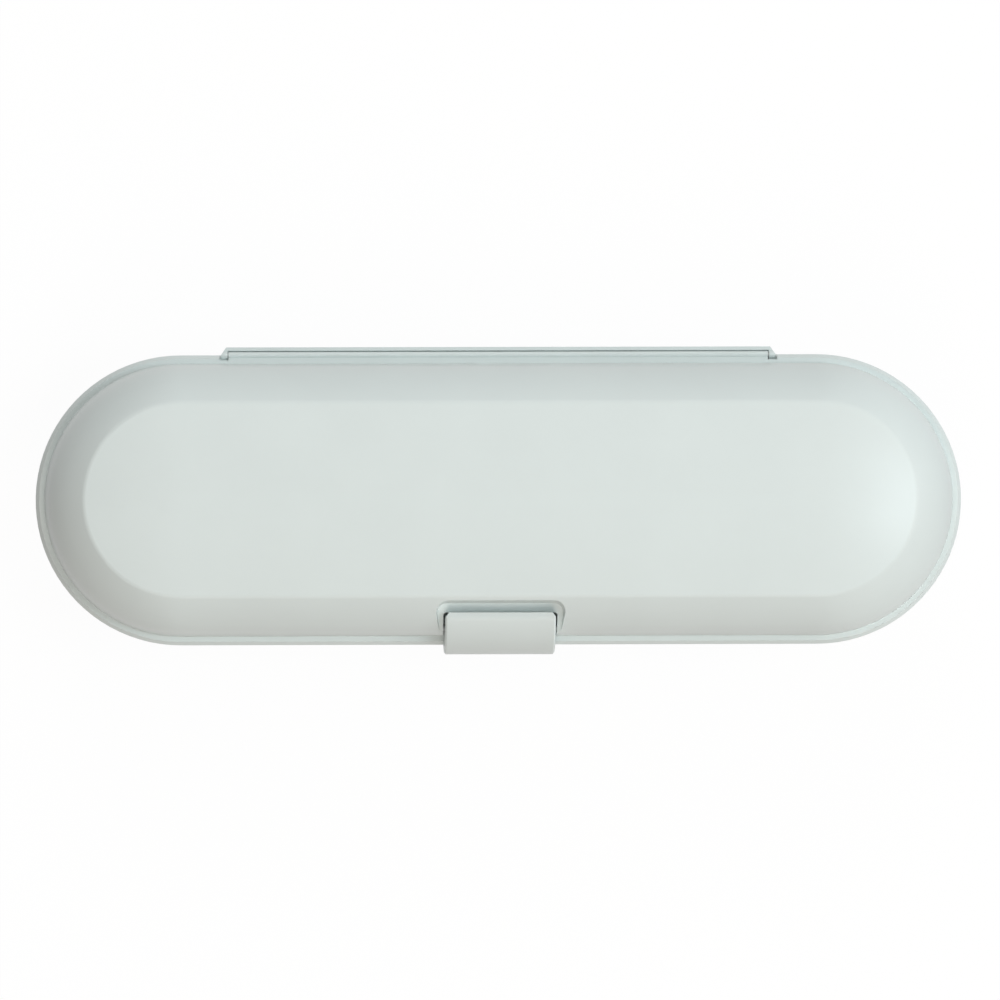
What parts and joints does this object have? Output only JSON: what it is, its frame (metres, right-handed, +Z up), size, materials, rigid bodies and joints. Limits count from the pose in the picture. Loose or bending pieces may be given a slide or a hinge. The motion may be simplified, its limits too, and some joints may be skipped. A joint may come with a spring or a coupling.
{
  "type": "electric toothbrush travel case",
  "caption": "Stadium-shaped hard travel case for an electric toothbrush, with a hinged domed lid, a rocker clasp and an inner tray for handle and brush heads.",
  "frame": {"origin": "middle of the flat bottom face, under the middle of the stadium plan of the shells", "axes": "+X along the case, +Y towards the rod hinge (the clasp is on the -Y side), +Z up through the lid"},
  "size_m": [0.215, 0.0714, 0.045],
  "materials": {
    "shell_plastic": "satin",
    "tray_plastic": "matt",
    "clasp_plastic": "satin",
    "pin_steel": "drawn"
  },
  "bodies": {
    "base": {"base_shell": "shell_plastic", "inner_tray": "tray_plastic", "hinge_rod": "pin_steel"},
    "lid": {"lid_shell": "shell_plastic", "clasp_pin": "pin_steel"},
    "clasp": {"clasp": "clasp_plastic"}
  },
  "joints": [
    {"name": "lid_hinge", "type": "hinge", "parent": "base", "child": "lid", "pos_m": [0, 0.0336, 0.025], "axis": [-1, 0, 0], "range_deg": [0, 115]},
    {"name": "clasp_rock", "type": "hinge", "parent": "lid", "child": "clasp", "pos_m": [0, -0.0297, 0.0319], "axis": [-1, 0, 0], "range_deg": [0, 10]}
  ]
}
